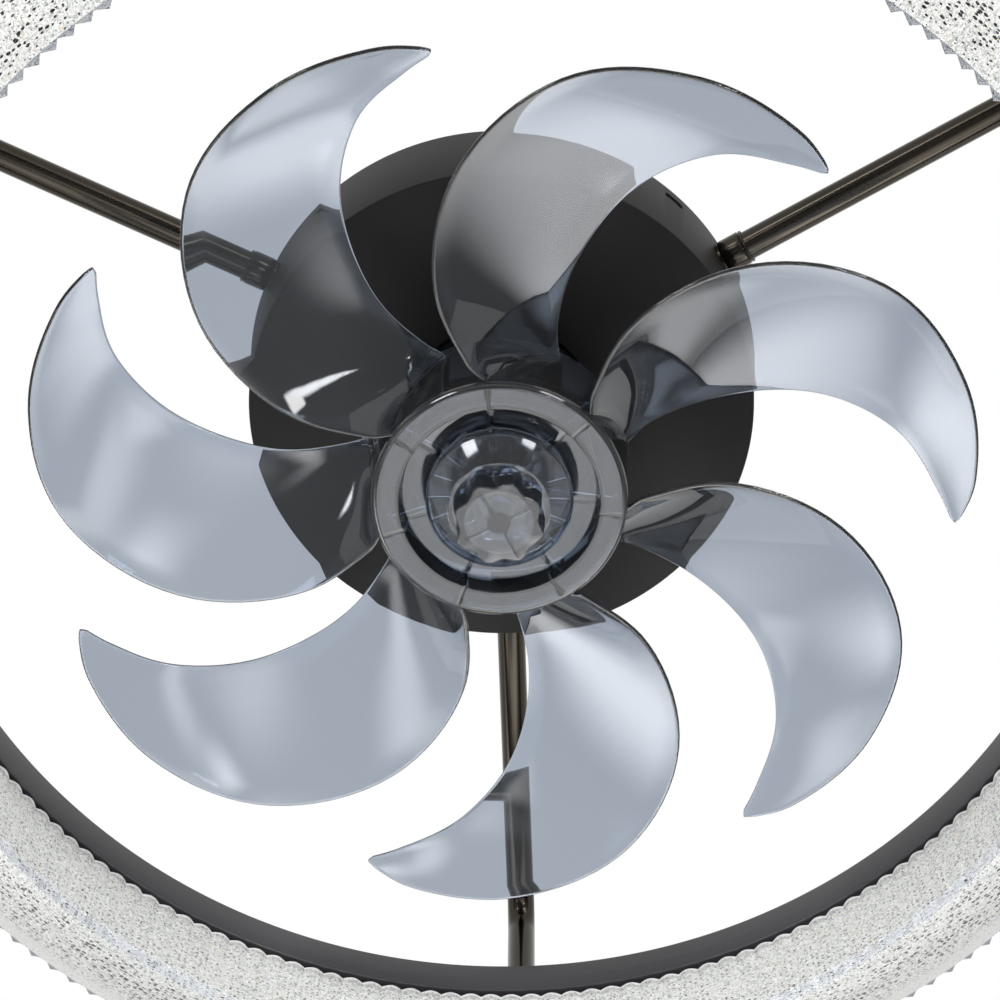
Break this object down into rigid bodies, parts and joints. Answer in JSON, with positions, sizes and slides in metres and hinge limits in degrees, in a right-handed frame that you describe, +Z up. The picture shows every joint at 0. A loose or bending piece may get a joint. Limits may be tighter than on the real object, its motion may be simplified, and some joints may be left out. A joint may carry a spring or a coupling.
{
  "type": "low profile ceiling fan",
  "caption": "Low profile ceiling fan with a round crystal light ring on bent arms, a shallow canopy, and a clear swept impeller held by a screw knob.",
  "frame": {"origin": "centre of the mounting plate's ceiling face", "axes": "+Z up into the ceiling, along the fan's axis; the picture was taken from below, on the -Y side"},
  "size_m": [0.503, 0.503, 0.1308],
  "materials": {
    "canopy_paint": "matt black powder coat",
    "black_paint": "satin black paint",
    "ring_paint": "satin dark grey paint",
    "black_nickel": "dark nickel plating, polished",
    "zinc_steel": "zinc plated",
    "light_board": "white circuit board",
    "crystal_acrylic": "clear frosted acrylic with a fine crystal texture",
    "core_steel": "bare laminations",
    "copper_wire": "enamelled copper wire",
    "bearing_steel": "ground steel",
    "white_plastic": "moulded, fine texture",
    "grey_plastic": "moulded, fine texture",
    "smoky_plastic": "clear smoky blue-grey plastic, polished",
    "thread_brass": "machined"
  },
  "bodies": {
    "base": {"mounting_plate": "black_paint", "canopy_shell": "canopy_paint", "arm_tube_1": "black_nickel", "arm_collar_1": "black_nickel", "arm_saddle_1": "zinc_steel", "arm_nipple_1": "zinc_steel", "arm_nut_1": "zinc_steel", "arm_tube_2": "black_nickel", "arm_collar_2": "black_nickel", "arm_saddle_2": "zinc_steel", "arm_nipple_2": "zinc_steel", "arm_nut_2": "zinc_steel", "arm_tube_3": "black_nickel", "arm_collar_3": "black_nickel", "arm_saddle_3": "zinc_steel", "arm_nipple_3": "zinc_steel", "arm_nut_3": "zinc_steel", "ring_channel": "ring_paint", "led_strip": "light_board", "diffuser_ring": "crystal_acrylic", "motor_cap": "black_paint", "motor_post_1": "zinc_steel", "motor_post_2": "zinc_steel", "motor_post_3": "zinc_steel", "motor_screw_1": "zinc_steel", "motor_screw_2": "zinc_steel", "motor_screw_3": "zinc_steel", "motor_can": "black_paint", "stator_core": "core_steel", "upper_winding": "copper_wire", "lower_winding": "copper_wire", "upper_bearing": "bearing_steel", "lower_bearing": "bearing_steel", "led_driver": "white_plastic", "remote_receiver": "grey_plastic", "terminal_block": "white_plastic"},
    "rotor": {"rotor_core": "core_steel", "motor_shaft": "bearing_steel", "drive_pin": "bearing_steel", "impeller": "smoky_plastic"},
    "knob_carrier": {"knob_washer": "bearing_steel"},
    "knob": {"screw_knob": "smoky_plastic", "knob_thread": "thread_brass"}
  },
  "joints": [
    {"name": "fan_spin", "type": "hinge", "parent": "base", "child": "rotor", "pos_m": [0, 0, -0.09], "axis": [0, 0, 1], "continuous": true},
    {"name": "knob_travel", "type": "slide", "parent": "rotor", "child": "knob_carrier", "axis": [0, 0, -1], "range_m": [0, 0.0101]},
    {"name": "knob_turn", "type": "hinge", "parent": "knob_carrier", "child": "knob", "pos_m": [0, 0, -0.112], "axis": [0, 0, 1], "range_deg": [0, 2880]}
  ],
  "couplings": [
    {"joint": "knob_travel", "follows": "knob_turn", "m_per_rad": 0.00019894}
  ]
}
